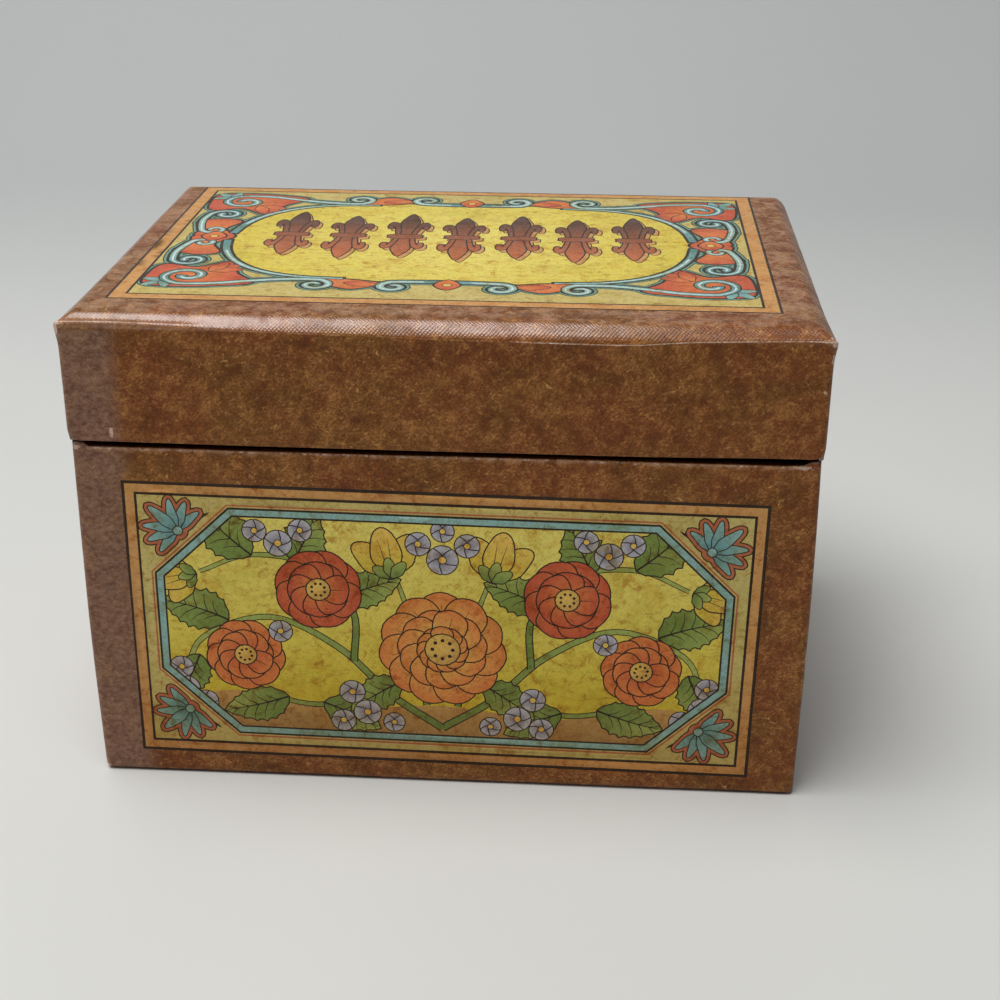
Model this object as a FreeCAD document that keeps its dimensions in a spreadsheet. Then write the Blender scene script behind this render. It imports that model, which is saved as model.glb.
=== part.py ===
"""Index card box: a paper-covered chipboard box with a back-hinged, roll-edged lid.

The frame is millimetres, +Z up, +X to the right seen from the front, the front facing -Y.
The origin is the middle of the footprint, at the level of the surface that the box stands on.
The box is built as a bookbinder builds one: a folded board tray, stayed at its corners, covered with
paper that is turned in over the rim and under the foot, then lined. The lid is made the same way, and
a cloth strip under a strip of cover paper hinges it along the back.
"""
import math

import FreeCAD, Part
import os
import Sketcher

os.makedirs("parts", exist_ok=True)
doc = FreeCAD.newDocument("card_box")

DIMENSIONS = [
    ("base_width", 136.4, "base across, over the cover paper"),
    ("base_depth", 97.0, "base front to back, over the cover paper"),
    ("seat_level", 71.0, "top of the base's end and back walls, where the lid sits"),
    ("front_drop", 1.0, "how far the base's front wall stops below the seat"),
    ("total_height", 95.4, "floor to the top of the lid"),
    ("lid_overhang", 0.5, "how far the lid stands proud of the base at the front and ends"),
    ("roll_width", 3.0, "the lid's rolled edge, measured in from the wall"),
    ("roll_drop", 2.7, "the lid's rolled edge, measured down from the top"),
    ("roll_bow", 0.3, "how far the rolled edge bows out from a straight bevel"),
    ("board", 1.8, "chipboard thickness"),
    ("cover_paper", 0.25, "cover paper thickness"),
    ("liner", 0.15, "lining paper thickness"),
    ("foot_sheet", 0.3, "thickness of the sheet pasted under the base"),
    ("foot_sheet_margin", 3.0, "how far the foot sheet stops inside the base's outline"),
    ("corner_radius", 1.2, "upright corners, over the cover paper"),
    ("foot_radius", 0.9, "edge between the base's walls and its underside"),
    ("stay_leg", 12.0, "corner stay, length of each leg"),
    ("stay_paper", 0.2, "corner stay thickness, pressed flush into the board"),
    ("stay_margin", 2.5, "clear board above and below a corner stay"),
    ("base_turn_in", 18.0, "cover paper turned in over the base's rim"),
    ("lid_turn_in", 13.0, "cover paper turned in over the lid's rim"),
    ("turn_under", 15.0, "cover paper turned under the base"),
    ("liner_setback", 2.5, "how far the lining stops short of a rim"),
    ("hinge_paper_width", 133.0, "hinge strip of cover paper, along the back"),
    ("hinge_paper_down", 17.0, "hinge strip below the seat"),
    ("hinge_paper_up", 13.0, "hinge strip above the seat"),
    ("hinge_margin", 2.0, "how far the cloth stops inside the hinge strip"),
    ("hinge_cloth", 0.25, "hinge cloth thickness"),
    ("hinge_paper", 0.25, "hinge strip thickness over the cloth"),
]
sheet = doc.addObject("Spreadsheet::Sheet", "dim")
for row, (alias, value, meaning) in enumerate(DIMENSIONS, start=1):
    sheet.set(f"A{row}", meaning)
    sheet.set(f"B{row}", str(value))
    sheet.setAlias(f"B{row}", alias)
doc.recompute()

# ---- sizes worked out from the sheet, as expressions -------------------------------------------
LID_WIDTH = "dim.base_width + 2 * dim.lid_overhang"
LID_DEPTH = "dim.base_depth + dim.lid_overhang"
LID_SHIFT = "-dim.lid_overhang / 2"          # the lid is flush with the base at the back
BOARD_SKIN = "dim.cover_paper"               # from the outside of the paper to the board
CAVITY_SKIN = "dim.cover_paper + dim.board"  # ... to the board's inner face
THROAT_SKIN = "2 * dim.cover_paper + dim.board"            # ... to the turned-in paper's inner face
ROOM_SKIN = "2 * dim.cover_paper + dim.board + dim.liner"  # ... to the lining's inner face
PAPER_UNDERSIDE = "dim.foot_sheet"
BOARD_UNDERSIDE = "dim.foot_sheet + dim.cover_paper"
BASE_FLOOR = "dim.foot_sheet + dim.cover_paper + dim.board"
LID_CEILING = "dim.total_height - dim.cover_paper - dim.board"
BASE_BOARD_TOP = "dim.seat_level - dim.cover_paper"
LID_BOARD_FOOT = "dim.seat_level + dim.cover_paper"
BASE_TURN_IN_END = "dim.seat_level - dim.base_turn_in"
LID_TURN_IN_END = "dim.seat_level + dim.lid_turn_in"
ROLL_CHORD = "sqrt(dim.roll_width ^ 2 + dim.roll_drop ^ 2)"
ROLL_RADIUS = f"({ROLL_CHORD} ^ 2 / (8 * dim.roll_bow) + dim.roll_bow / 2)"
ROLL_REACH = f"({ROLL_RADIUS} - dim.roll_bow) / {ROLL_CHORD}"  # centre to chord, as a share of the chord
ROLL_IN = f"(dim.roll_width / 2 + dim.roll_drop * {ROLL_REACH})"     # centre, in from the wall
ROLL_DOWN = f"(dim.roll_drop / 2 + dim.roll_width * {ROLL_REACH})"   # ... and down from the top
CLEAR = "10"                                 # how far a cutting body runs past what it cuts


def inside(size, skin):
    """A width or depth with the same skin taken off both sides."""
    return f"{size} - 2 * ({skin})"


# ---- sketches and features ---------------------------------------------------------------------
def new_body(label):
    body = doc.addObject("PartDesign::Body", label)
    body.Label = label
    return body


def new_sketch(body, plane, level="0"):
    """A sketch on one of the body's own origin planes, raised along the plane's normal."""
    sketch = body.newObject("Sketcher::SketchObject", body.Label + "_sketch")
    origin_plane = next(f for f in body.Origin.OriginFeatures if f.Role == plane)
    sketch.AttachmentSupport = [(origin_plane, "")]
    sketch.MapMode = "FlatFace"
    sketch.setExpression("AttachmentOffset.Base.z", level)
    return sketch


def dimension(sketch, kind, *where, value):
    """One driving dimension of a sketch, bound to an expression."""
    index = sketch.addConstraint(Sketcher.Constraint(kind, *where, float(sketch.evalExpression(value))))
    sketch.setExpression(f"Constraints[{index}]", value)


def chain(sketch, points):
    """Closed polygon: straight edges joined end to end, level or upright where they start so."""
    corners = [FreeCAD.Vector(x, y, 0) for x, y in points]
    first = sketch.GeometryCount
    count = len(corners)
    for i in range(count):
        sketch.addGeometry(Part.LineSegment(corners[i], corners[(i + 1) % count]), False)
    for i in range(count):
        following = first + (i + 1) % count
        sketch.addConstraint(Sketcher.Constraint("Coincident", first + i, 2, following, 1))
        (x1, y1), (x2, y2) = points[i], points[(i + 1) % count]
        if y1 == y2:
            sketch.addConstraint(Sketcher.Constraint("Horizontal", first + i))
        elif x1 == x2:
            sketch.addConstraint(Sketcher.Constraint("Vertical", first + i))
    return first


def rectangle(sketch, width, height):
    """A rectangle centred on the sketch's origin."""
    first = chain(sketch, [(-50, -30), (50, -30), (50, 30), (-50, 30)])
    sketch.addConstraint(Sketcher.Constraint("Symmetric", first, 1, first + 2, 1, -1, 1))
    dimension(sketch, "DistanceX", first, 1, first, 2, value=width)
    dimension(sketch, "DistanceY", first + 1, 1, first + 1, 2, value=height)


def pad(body, sketch, length, symmetric=False):
    feature = body.newObject("PartDesign::Pad", body.Label + "_pad")
    feature.Profile = sketch
    feature.setExpression("Length", length)
    if symmetric:
        feature.SideType = "Symmetric"
    doc.recompute()
    return feature


def pocket(body, sketch, length, upward=False):
    """Cut a sketch into the body, down its normal or up it, and check that something went."""
    before = body.Shape.Volume
    feature = body.newObject("PartDesign::Pocket", body.Label + "_pocket")
    feature.Profile = sketch
    feature.Reversed = upward
    feature.setExpression("Length", length)
    doc.recompute()
    if body.Shape.Volume >= before:
        raise RuntimeError(f"{feature.Label} cuts nothing")
    return feature


def block(body, width, depth, bottom, top):
    """A plain block between two levels, added to the body."""
    sketch = new_sketch(body, "XY_Plane", bottom)
    rectangle(sketch, width, depth)
    return pad(body, sketch, f"({top}) - ({bottom})")


def is_upright(edge):
    low, high = edge.BoundBox.ZMin, edge.BoundBox.ZMax
    return edge.BoundBox.XLength < 0.01 and edge.BoundBox.YLength < 0.01 and high - low > 1


def round_edges(body, radius, wanted):
    """Round every edge of the body's present shape that wanted() picks."""
    sharp = body.Tip
    names = [f"Edge{i}" for i, edge in enumerate(sharp.Shape.Edges, start=1) if wanted(edge)]
    feature = body.newObject("PartDesign::Fillet", body.Label + "_rounding")
    feature.Base = (sharp, names)
    feature.setExpression("Radius", radius)
    doc.recompute()
    return feature


def joined(kind, label, shapes):
    """A Part::MultiFuse or Part::MultiCommon of several objects."""
    feature = doc.addObject(kind, label)
    feature.Shapes = shapes
    feature.Label = label
    return feature


def cut(label, base, *tools):
    """What is left of base once every tool is taken from it."""
    feature = doc.addObject("Part::Cut", label)
    feature.Base = base
    feature.Tool = tools[0] if len(tools) == 1 else joined("Part::MultiFuse", label + "_tools", list(tools))
    feature.Label = label
    doc.recompute()
    return feature


# ---- corner stays ------------------------------------------------------------------------------
QUARTER_TURNS = {"front_left": 0, "front_right": 1, "back_right": 2, "back_left": 3}


def corner_stay(label, corner, half_width, front, back, bottom, top):
    """Gummed paper angle round one upright corner of a board tray.

    It is drawn with the board's corner at the sketch's origin and its legs along +X and +Y, then
    turned to its own corner. The outer arc is the board's corner rounding.
    """
    body = new_body(label)
    sketch = new_sketch(body, "XY_Plane")
    leg, thick, radius = 12, 0.2, 0.95  # starting sizes; the dimensions below set the real ones
    upright = FreeCAD.Vector(0, 0, 1)
    centre = FreeCAD.Vector(radius, radius, 0)
    quarter = (math.pi, 1.5 * math.pi)
    outer_arc = sketch.addGeometry(Part.ArcOfCircle(Part.Circle(centre, upright, radius), *quarter), False)
    inner_arc = sketch.addGeometry(
        Part.ArcOfCircle(Part.Circle(centre, upright, radius - thick), *quarter), False)
    runs = {
        "outer_x": ((radius, 0), (leg, 0)),
        "end_x": ((leg, 0), (leg, thick)),
        "inner_x": ((leg, thick), (radius, thick)),
        "inner_y": ((thick, radius), (thick, leg)),
        "end_y": ((thick, leg), (0, leg)),
        "outer_y": ((0, leg), (0, radius)),
    }
    line = {}
    for name, (start, end) in runs.items():
        segment = Part.LineSegment(FreeCAD.Vector(*start, 0), FreeCAD.Vector(*end, 0))
        line[name] = sketch.addGeometry(segment, False)
    join = Sketcher.Constraint
    sketch.addConstraint([
        join("Tangent", line["outer_x"], 1, outer_arc, 2),
        join("Tangent", line["outer_y"], 2, outer_arc, 1),
        join("Tangent", line["inner_x"], 2, inner_arc, 2),
        join("Tangent", line["inner_y"], 1, inner_arc, 1),
        join("Coincident", line["outer_x"], 2, line["end_x"], 1),
        join("Coincident", line["end_x"], 2, line["inner_x"], 1),
        join("Coincident", line["inner_y"], 2, line["end_y"], 1),
        join("Coincident", line["end_y"], 2, line["outer_y"], 1),
        join("Coincident", outer_arc, 3, inner_arc, 3),
        join("Horizontal", line["outer_x"]),
        join("Vertical", line["outer_y"]),
        join("Horizontal", line["inner_x"]),
        join("Vertical", line["inner_y"]),
        join("Vertical", line["end_x"]),
        join("Horizontal", line["end_y"]),
        join("PointOnObject", line["outer_x"], 1, -1),
        join("PointOnObject", line["outer_y"], 2, -2),
        join("Equal", line["outer_x"], line["outer_y"]),
    ])
    dimension(sketch, "Radius", outer_arc, value="dim.corner_radius - dim.cover_paper")
    dimension(sketch, "DistanceX", -1, 1, line["outer_x"], 2, value="dim.stay_leg")
    dimension(sketch, "DistanceY", line["end_x"], 1, line["end_x"], 2, value="dim.stay_paper")
    pad(body, sketch, f"({top}) - ({bottom})")

    turns = QUARTER_TURNS[corner]
    body.Placement.Rotation = FreeCAD.Rotation(upright, 90 * turns)
    body.setExpression("Placement.Base.x", half_width if corner.endswith("right") else f"-({half_width})")
    body.setExpression("Placement.Base.y", back if corner.startswith("back") else front)
    body.setExpression("Placement.Base.z", bottom)
    doc.recompute()
    return body


def four_stays(prefix, half_width, front, back, bottom, top):
    return [corner_stay(f"{prefix}_corner_stay_{corner}", corner, half_width, front, back, bottom, top)
            for corner in QUARTER_TURNS]


# ---- base --------------------------------------------------------------------------------------
def base_form(label, skin, bottom):
    """The base's outer form at the board's or the paper's surface, solid, with its front wall lowered."""
    body = new_body(label)
    top = f"dim.seat_level - ({skin})"
    block(body, inside("dim.base_width", skin), inside("dim.base_depth", skin), bottom, top)
    round_edges(body, f"dim.corner_radius - ({skin})", is_upright)
    foot = body.Tip.Shape.BoundBox.ZMin
    round_edges(body, f"dim.foot_radius - ({skin})",
                lambda edge: edge.BoundBox.ZMax < foot + 0.01)
    # The front wall stands between the end walls and stops lower than they do.
    notch = new_sketch(body, "XY_Plane", top)
    opening = chain(notch, [(-60, -60), (60, -60), (60, -40), (-60, -40)])
    half_opening = f"dim.base_width / 2 - ({THROAT_SKIN} - ({skin}))"
    dimension(notch, "DistanceX", opening, 1, -1, 1, value=half_opening)
    dimension(notch, "DistanceX", -1, 1, opening, 2, value=half_opening)
    dimension(notch, "DistanceY", opening + 1, 1, -1, 1, value=f"dim.base_depth / 2 + {CLEAR}")
    dimension(notch, "DistanceY", opening + 1, 2, -1, 1, value=f"dim.base_depth / 2 - ({THROAT_SKIN})")
    pocket(body, notch, "dim.front_drop")
    return body


def base_core():
    """The room inside the cover paper: mouth, board cavity, and the window the turn-under leaves."""
    body = new_body("base_core")
    window = "2 * dim.turn_under"
    block(body, f"dim.base_width - {window}", f"dim.base_depth - {window}", f"-{CLEAR}", BASE_FLOOR)
    block(body, inside("dim.base_width", CAVITY_SKIN), inside("dim.base_depth", CAVITY_SKIN),
          BASE_FLOOR, BASE_TURN_IN_END)
    block(body, inside("dim.base_width", THROAT_SKIN), inside("dim.base_depth", THROAT_SKIN),
          BASE_TURN_IN_END, f"dim.seat_level + {CLEAR}")
    return body


def base_parts():
    board = base_form("base_board", BOARD_SKIN, BOARD_UNDERSIDE)
    cavity = new_sketch(board, "XY_Plane", BASE_FLOOR)
    rectangle(cavity, inside("dim.base_width", CAVITY_SKIN), inside("dim.base_depth", CAVITY_SKIN))
    pocket(board, cavity, "dim.seat_level", upward=True)

    board_half_depth = "(dim.base_depth / 2 - dim.cover_paper)"
    stays = four_stays("base", "dim.base_width / 2 - dim.cover_paper",
                       f"-{board_half_depth}", board_half_depth,
                       "dim.foot_sheet + dim.foot_radius + dim.stay_margin",
                       "dim.seat_level - dim.front_drop - dim.stay_margin")
    tray = cut("base_tray", board, *stays)
    wrap = cut("base_wrap", base_form("base_skin", "0", PAPER_UNDERSIDE), board, base_core())

    # The foot sheet is pasted over the turned-under paper, so its middle sits higher, on the board.
    foot_sheet = new_body("base_bottom_sheet")
    margin = "2 * dim.foot_sheet_margin"
    block(foot_sheet, f"dim.base_width - {margin}", f"dim.base_depth - {margin}", "0", "dim.foot_sheet")
    middle = "2 * dim.turn_under"
    block(foot_sheet, f"dim.base_width - {middle}", f"dim.base_depth - {middle}", "0", BOARD_UNDERSIDE)
    hollow = new_sketch(foot_sheet, "XY_Plane", "dim.cover_paper")
    rectangle(hollow, f"dim.base_width - {middle}", f"dim.base_depth - {middle}")
    pocket(foot_sheet, hollow, "dim.foot_sheet")

    walls = new_body("base_wall_liner")
    block(walls, inside("dim.base_width", CAVITY_SKIN), inside("dim.base_depth", CAVITY_SKIN),
          BASE_FLOOR, BASE_TURN_IN_END)
    block(walls, inside("dim.base_width", THROAT_SKIN), inside("dim.base_depth", THROAT_SKIN),
          BASE_TURN_IN_END, "dim.seat_level - dim.front_drop - dim.liner_setback")
    room = new_sketch(walls, "XY_Plane", BASE_FLOOR)
    rectangle(room, inside("dim.base_width", ROOM_SKIN), inside("dim.base_depth", ROOM_SKIN))
    pocket(walls, room, "dim.seat_level", upward=True)

    floor = new_body("base_floor_liner")
    block(floor, inside("dim.base_width", ROOM_SKIN), inside("dim.base_depth", ROOM_SKIN),
          BASE_FLOOR, f"{BASE_FLOOR} + dim.liner")
    return [tray, wrap, *stays, foot_sheet, walls, floor]


# ---- lid ---------------------------------------------------------------------------------------
def rolled_section(body, plane, size, length, skin):
    """Cross-section of the lid, its top edges rolled, drawn about the sketch's upright axis."""
    sketch = new_sketch(body, plane)
    # Starting places, roughly right; the dimensions below set the real ones.
    half, foot, top, crease, in_from_edge = 48, 71, 95.4, 93.4, 45
    centre_in, centre_down, radius, lower, upper = 4.4, 5.4, 5.6, 0.65, 1.31
    points = [(-half, foot), (half, foot), (half, crease), (in_from_edge, top),
              (-in_from_edge, top), (-half, crease)]
    corner = [FreeCAD.Vector(x, y, 0) for x, y in points]
    bottom = sketch.addGeometry(Part.LineSegment(corner[0], corner[1]), False)
    right = sketch.addGeometry(Part.LineSegment(corner[1], corner[2]), False)
    roll_right = sketch.addGeometry(Part.ArcOfCircle(Part.Circle(
        FreeCAD.Vector(half - centre_in, top - centre_down, 0), FreeCAD.Vector(0, 0, 1), radius),
        lower, upper), False)
    crown = sketch.addGeometry(Part.LineSegment(corner[3], corner[4]), False)
    roll_left = sketch.addGeometry(Part.ArcOfCircle(Part.Circle(
        FreeCAD.Vector(centre_in - half, top - centre_down, 0), FreeCAD.Vector(0, 0, 1), radius),
        math.pi - upper, math.pi - lower), False)
    left = sketch.addGeometry(Part.LineSegment(corner[5], corner[0]), False)
    join = Sketcher.Constraint
    sketch.addConstraint([
        join("Coincident", bottom, 2, right, 1),
        join("Coincident", right, 2, roll_right, 1),
        join("Coincident", roll_right, 2, crown, 1),
        join("Coincident", crown, 2, roll_left, 1),
        join("Horizontal", crown),
        join("Coincident", roll_left, 2, left, 1),
        join("Coincident", left, 2, bottom, 1),
        join("Vertical", right),
        join("Vertical", left),
        join("Symmetric", bottom, 1, bottom, 2, -2),
        join("Symmetric", roll_left, 3, roll_right, 3, -2),
        join("Equal", roll_left, roll_right),
    ])
    dimension(sketch, "DistanceX", bottom, 1, bottom, 2, value=inside(size, skin))
    dimension(sketch, "DistanceY", -1, 1, bottom, 1, value=f"dim.seat_level + ({skin})")
    dimension(sketch, "DistanceY", -1, 1, crown, 1, value=f"dim.total_height - ({skin})")
    dimension(sketch, "DistanceX", -1, 1, roll_right, 3, value=f"({size}) / 2 - {ROLL_IN}")
    dimension(sketch, "DistanceY", -1, 1, roll_right, 3, value=f"dim.total_height - {ROLL_DOWN}")
    dimension(sketch, "Radius", roll_right, value=f"{ROLL_RADIUS} - ({skin})")
    pad(body, sketch, length, symmetric=True)


def lid_form(label, skin):
    """The lid's outer form at the board's or the paper's surface, solid.

    It is what a plan with rounded corners shares with a section across and a section front to back,
    so the rolled edges meet in mitres and the corners stay low and crisp.
    """
    plan = new_body(label + "_plan")
    block(plan, inside(LID_WIDTH, skin), inside(LID_DEPTH, skin), f"dim.seat_level - {CLEAR}",
          f"dim.total_height + {CLEAR}")
    round_edges(plan, f"dim.corner_radius - ({skin})", is_upright)
    across = new_body(label + "_across")
    rolled_section(across, "XZ_Plane", LID_WIDTH, f"{LID_DEPTH} + {CLEAR}", skin)
    front_to_back = new_body(label + "_front_to_back")
    rolled_section(front_to_back, "YZ_Plane", LID_DEPTH, f"{LID_WIDTH} + {CLEAR}", skin)
    for body in (plan, across, front_to_back):
        body.setExpression("Placement.Base.y", LID_SHIFT)
    form = joined("Part::MultiCommon", label, [plan, across, front_to_back])
    doc.recompute()
    return form


def lid_room(label, levels):
    """Stacked blocks inside the lid, each from one level to the next, as (skin, bottom, top)."""
    body = new_body(label)
    for skin, bottom, top in levels:
        block(body, inside(LID_WIDTH, skin), inside(LID_DEPTH, skin), bottom, top)
    body.setExpression("Placement.Base.y", LID_SHIFT)
    doc.recompute()
    return body


def lid_parts():
    below = f"dim.seat_level - {CLEAR}"
    cavity = lid_room("lid_cavity", [(CAVITY_SKIN, below, LID_CEILING)])
    board = cut("lid_board", lid_form("lid_board_form", BOARD_SKIN), cavity)

    half_board = f"(({LID_DEPTH}) / 2 - dim.cover_paper)"
    stays = four_stays("lid", f"({LID_WIDTH}) / 2 - dim.cover_paper",
                       f"{LID_SHIFT} - {half_board}", f"{LID_SHIFT} + {half_board}",
                       "dim.seat_level + dim.stay_margin",
                       "dim.total_height - dim.roll_drop - dim.stay_margin")
    tray = cut("lid_tray", board, *stays)
    core = lid_room("lid_core", [(THROAT_SKIN, below, LID_TURN_IN_END),
                                 (CAVITY_SKIN, LID_TURN_IN_END, LID_CEILING)])
    wrap = cut("lid_wrap", lid_form("lid_skin", "0"), board, core)

    walls = lid_room("lid_wall_liner", [
        (THROAT_SKIN, "dim.seat_level + dim.liner_setback", LID_TURN_IN_END),
        (CAVITY_SKIN, LID_TURN_IN_END, LID_CEILING)])
    room = new_sketch(walls, "XY_Plane", LID_CEILING)
    rectangle(room, inside(LID_WIDTH, ROOM_SKIN), inside(LID_DEPTH, ROOM_SKIN))
    pocket(walls, room, "dim.total_height")
    ceiling = lid_room("lid_top_liner", [(ROOM_SKIN, f"{LID_CEILING} - dim.liner", LID_CEILING)])
    return [tray, wrap, *stays, walls, ceiling]


# ---- hinge -------------------------------------------------------------------------------------
def strip(label, margin, thickness):
    """Flat strip on the back faces of base and lid, over the line where they meet."""
    box = doc.addObject("Part::Box", label)
    box.Label = label
    box.setExpression("Length", f"dim.hinge_paper_width - 2 * {margin}")
    box.setExpression("Width", thickness)
    box.setExpression("Height", f"dim.hinge_paper_down + dim.hinge_paper_up - 2 * {margin}")
    box.setExpression("Placement.Base.x", f"-dim.hinge_paper_width / 2 + {margin}")
    box.setExpression("Placement.Base.y", "dim.base_depth / 2")
    box.setExpression("Placement.Base.z", f"dim.seat_level - dim.hinge_paper_down + {margin}")
    doc.recompute()
    return box


def hinge_parts():
    cloth = strip("hinge_cloth", "dim.hinge_margin", "dim.hinge_cloth")
    paper = cut("hinge_strip", strip("hinge_strip_blank", "0", "dim.hinge_cloth + dim.hinge_paper"), cloth)
    return [cloth, paper]


# ---- build, check and write --------------------------------------------------------------------
parts = base_parts() + lid_parts() + hinge_parts()
doc.recompute()
for item in doc.Objects:
    if {"Invalid", "Error"} & set(item.State):
        raise RuntimeError(f"{item.Label} failed: {item.State}")
for part in parts:
    shape = part.Shape
    if shape.isNull() or not shape.isValid() or len(shape.Solids) != 1:
        raise RuntimeError(f"{part.Label} is not one valid solid")
    shape.exportStep(f"parts/{part.Label}.step")
    box = shape.BoundBox
    print(f"{part.Label:32s} {shape.Volume:10.1f} mm3   X {box.XMin:.2f}..{box.XMax:.2f}"
          f"   Y {box.YMin:.2f}..{box.YMax:.2f}   Z {box.ZMin:.2f}..{box.ZMax:.2f}")
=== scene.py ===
"""Hinged card box with a lift-up lid, covered in printed paper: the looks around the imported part."""

import functools
from math import acos, asin, atan2, copysign, cos, degrees, hypot, pi, radians, sin

import bmesh
import bpy
import numpy as np
from mathutils import Matrix, Vector, noise
from mathutils.geometry import delaunay_2d_cdt


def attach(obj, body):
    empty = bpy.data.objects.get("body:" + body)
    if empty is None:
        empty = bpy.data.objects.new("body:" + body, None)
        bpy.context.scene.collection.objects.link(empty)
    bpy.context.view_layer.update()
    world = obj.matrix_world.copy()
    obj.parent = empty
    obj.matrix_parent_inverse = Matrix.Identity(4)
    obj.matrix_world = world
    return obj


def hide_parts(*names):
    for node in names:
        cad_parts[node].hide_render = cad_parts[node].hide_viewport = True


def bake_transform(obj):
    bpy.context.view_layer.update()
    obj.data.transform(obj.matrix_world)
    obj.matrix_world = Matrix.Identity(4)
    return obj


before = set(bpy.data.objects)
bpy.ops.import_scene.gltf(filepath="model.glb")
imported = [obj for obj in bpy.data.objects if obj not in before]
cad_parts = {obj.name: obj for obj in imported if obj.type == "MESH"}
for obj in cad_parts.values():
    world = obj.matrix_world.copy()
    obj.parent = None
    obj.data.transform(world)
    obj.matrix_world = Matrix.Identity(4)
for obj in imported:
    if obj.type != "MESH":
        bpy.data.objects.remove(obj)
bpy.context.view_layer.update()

MM = 0.001

# Sizes in millimetres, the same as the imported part's.
BASE_HALF = (68.2, 48.5)
LID_HALF = (68.7, 48.75)
LID_CENTRE = -0.25
SEAT = 71.0
FRONT_SEAT = 70.0
HEIGHT = 95.4
CORNER = 1.2
BOARD = 1.8
SKIN = 0.25
ROLL_WIDTH = 3.0
ROLL_DROP = 2.7
ROLL_BOW = 0.3
CREASE = HEIGHT - ROLL_DROP
FOOT = 0.9
FOOT_LEVEL = 0.3
BASE_TURN_IN = 53.0
LID_TURN_IN = 84.0
TURN_UNDER = 15.0

# Where the printed panels sit on their faces, measured from the photograph; the turn is in degrees.
TOP_PRINT_CENTRE = (-0.9, 2.9)
FRONT_PRINT_CENTRE = (-0.25, 33.6)
FRONT_PRINT_TURN = degrees(-0.0113)
CARTOUCHE = (0, 1.2)
QUARTERS = ((1, 1), (1, -1), (-1, 1), (-1, -1))

# The paper doesn't stand out beyond this y, where the hinge strip lies on it; and a chip's reach along y.
NEAR_BACK = 48.2
CHIP_DEPTH = 1.5

# Without a seed, the vectors of hills() would follow the clock.
noise.seed_set(1)

# Inks, as sRGB from 0 to 255.
INK = (52, 40, 30)
BAND = (208, 154, 92)
CREAM = (204, 186, 112)
RUST = (190, 112, 76)
YELLOW = (236, 220, 112)
YELLOW_DEEP = (216, 194, 60)
TEAL = (146, 186, 180)
TEAL_DEEP = (94, 146, 150)
FLAME = (226, 134, 70)
RED = (200, 88, 58)
GOLD = (236, 196, 96)
LEAF = (172, 184, 98)
LEAF_DEEP = (116, 140, 66)
MAUVE = (190, 188, 196)
MAUVE_DEEP = (112, 110, 138)
HALO = (110, 160, 146)
PALE = (206, 226, 224)
PLUM = (92, 62, 50)
COPPER = (196, 110, 66)
SAND = (204, 160, 92)


class Print:
    """Shapes painted one over another. A shape is a few closed contours, an odd overlap being inside."""

    def __init__(self):
        self.shapes = []

    def fill(self, contours, near, far=None, start=None, end=None, radial=False):
        """Near colour at start, far colour at end, along a line or out from a centre."""
        if isinstance(contours, np.ndarray):
            contours = [contours]
        middle = np.mean(contours[0], axis=0)
        line = [middle if start is None else start, middle + (1, 0) if end is None else end]
        self.shapes.append((contours, near, far or near, line, radial))

    def inked(self, outline, *colours_and_ends, line=0.26, **more):
        self.fill(grow(outline, line), INK)
        self.fill(outline, *colours_and_ends, **more)

    def bands(self, half_w, half_h, insets):
        """Rectangular bands, each between two insets."""
        for outer, inner, colour in insets:
            self.fill([rectangle(half_w - inset, half_h - inset) for inset in (outer, inner)], colour)


def area(points):
    x, y = points.T
    return 0.5 * np.sum(x * np.roll(y, -1) - np.roll(x, -1) * y)


def lengths(vectors):
    return np.linalg.norm(vectors, axis=1, keepdims=True) + 1e-9


def grow(points, distance):
    """Offset a closed outline outwards."""
    if area(points) < 0:
        points = points[::-1]
    before, after = np.roll(points, 1, axis=0), np.roll(points, -1, axis=0)
    a, b = points - before, after - points
    a, b = a / lengths(a), b / lengths(b)
    normal = np.stack([a[:, 1] + b[:, 1], -a[:, 0] - b[:, 0]], 1)
    length = lengths(normal)
    mitre = 2 / np.maximum(length, 0.9)
    return points + normal / length * distance * mitre


def smooth(points, steps=5, closed=True):
    """Catmull-Rom curve through the points."""
    p = np.array(points, float)
    if closed:
        a, b, c, d = np.roll(p, 1, 0), p, np.roll(p, -1, 0), np.roll(p, -2, 0)
    else:
        q = np.vstack([2 * p[0] - p[1], p, 2 * p[-1] - p[-2]])
        a, b, c, d = q[:-3], q[1:-2], q[2:-1], q[3:]
    out = []
    for i in range(len(b)):
        for k in range(steps):
            t = k / steps
            out.append(0.5 * (2 * b[i] + (c[i] - a[i]) * t + (2 * a[i] - 5 * b[i] + 4 * c[i] - d[i]) * t ** 2
                              + (3 * b[i] - a[i] - 3 * c[i] + d[i]) * t ** 3))
    if not closed:
        out.append(p[-1])
    return np.array(out)


def place(points, x, y, angle=0.0):
    """Turn by an angle in degrees and move."""
    c, s = cos(radians(angle)), sin(radians(angle))
    return np.array(points, float) @ np.array([[c, s], [-s, c]]) + (x, y)


def rectangle(half_w, half_h):
    return np.array([(-half_w, -half_h), (half_w, -half_h), (half_w, half_h), (-half_w, half_h)])


def octagon(half_w, half_h, cut_w, cut_h):
    w, h, a, b = half_w, half_h, half_w - cut_w, half_h - cut_h
    return np.array([(-a, -h), (a, -h), (w, -b), (w, b), (a, h), (-a, h), (-w, b), (-w, -b)], float)


def disc(x, y, radius, count=16):
    t = np.linspace(0, 2 * pi, count, endpoint=False)
    return np.stack([x + radius * np.cos(t), y + radius * np.sin(t)], 1)


def curl(x, y, outer, inner, angle, turn):
    """Points winding in about a centre from the outer radius at an angle; both angles in degrees."""
    t = np.linspace(0, 1, max(int(abs(turn) / 24), 6))
    radius = outer + (inner - outer) * t ** 0.85
    a = np.radians(angle + turn * t)
    return np.stack([x + radius * np.cos(a), y + radius * np.sin(a)], 1)


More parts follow.
